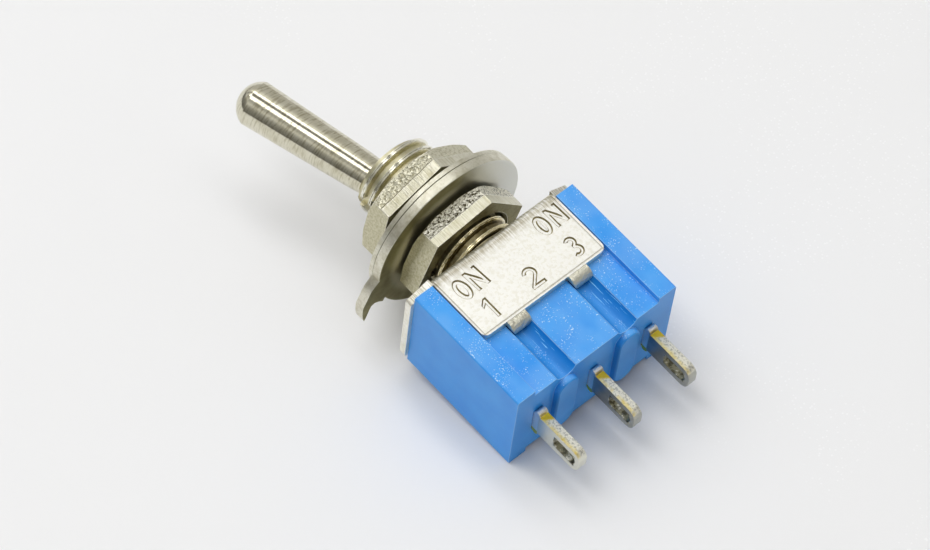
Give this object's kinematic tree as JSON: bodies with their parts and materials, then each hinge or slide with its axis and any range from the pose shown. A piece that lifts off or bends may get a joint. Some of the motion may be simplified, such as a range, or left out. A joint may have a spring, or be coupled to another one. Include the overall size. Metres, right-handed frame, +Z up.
{
  "type": "toggle switch",
  "caption": "Miniature panel toggle switch: blue case in a stamped frame, threaded bushing with hex nuts and two washers, bat lever, rocking contact and solder terminals.",
  "frame": {"origin": "on the bushing's axis, at the top face of the frame that seats against a panel", "axes": "+Z up the bushing towards the lever, +X along the row of terminals, away from the lever's stored position; the stamped ON flange that is seen first faces -Y"},
  "size_m": [0.0139, 0.0119, 0.0342],
  "materials": {
    "blue_plastic": "satin blue moulding with fine pale specks",
    "stamped_steel": "bright plated sheet, lightly brushed along the bends",
    "nickel_brass": "nickel-plated turned brass",
    "polished_nickel": "polished plating with fine marks round the handle",
    "spring_steel": "drawn wire",
    "nylon": "plain moulding",
    "silvered_strip": "silver-plated strip",
    "terminal_brass": "tinned and gold-flashed brass",
    "contact_silver": "plain silver",
    "nickel_nut": "nickel plating over a slightly rough surface",
    "washer_steel": "plated sheet with a fine-lined sheared edge"
  },
  "bodies": {
    "switch_body": {"case": "blue_plastic", "frame": "stamped_steel", "bushing": "nickel_brass", "common_terminal": "terminal_brass", "end_terminal_left": "terminal_brass", "end_terminal_right": "terminal_brass", "contact_rivet_left": "contact_silver", "contact_rivet_right": "contact_silver"},
    "lever_body": {"lever": "polished_nickel", "lever_spring": "spring_steel"},
    "plunger_body": {"plunger": "nylon"},
    "rocker_body": {"rocker_contact": "silvered_strip"},
    "washer_body": {"keyed_washer": "washer_steel", "lock_washer": "washer_steel"},
    "front_nut_body": {"front_nut": "nickel_nut"},
    "rear_nut_body": {"rear_nut": "nickel_nut"}
  },
  "joints": [
    {"name": "lever_tilt", "type": "hinge", "parent": "switch_body", "child": "lever_body", "pos_m": [0, 0, 0.0045], "axis": [0, 1, 0], "range_deg": [0, 27.7]},
    {"name": "rocker_tilt", "type": "hinge", "parent": "switch_body", "child": "rocker_body", "pos_m": [0, 0, -0.0063], "axis": [0, 1, 0], "range_deg": [-20, 0]},
    {"name": "plunger_slide", "type": "slide", "parent": "lever_body", "child": "plunger_body", "axis": [-0.2394, 0, 0.9709], "range_m": [0, 0.0008], "stiffness_N_per_m": 400, "deforming": ["lever_spring"]},
    {"name": "washer_slide", "type": "slide", "parent": "switch_body", "child": "washer_body", "axis": [0, 0, 1], "range_m": [-0.00004, 0.00212]},
    {"name": "front_nut_turn", "type": "hinge", "parent": "washer_body", "child": "front_nut_body", "pos_m": [0, 0, 0], "axis": [0, 0, 1], "range_deg": [-20, 1020]},
    {"name": "rear_nut_turn", "type": "hinge", "parent": "switch_body", "child": "rear_nut_body", "pos_m": [0, 0, 0], "axis": [0, 0, 1], "range_deg": [-720, 20]}
  ],
  "couplings": [
    {"joint": "rocker_tilt", "follows": "lever_tilt", "ratio": -0.72202},
    {"joint": "front_nut_turn", "follows": "washer_slide", "rad_per_m": 8377.6}
  ]
}
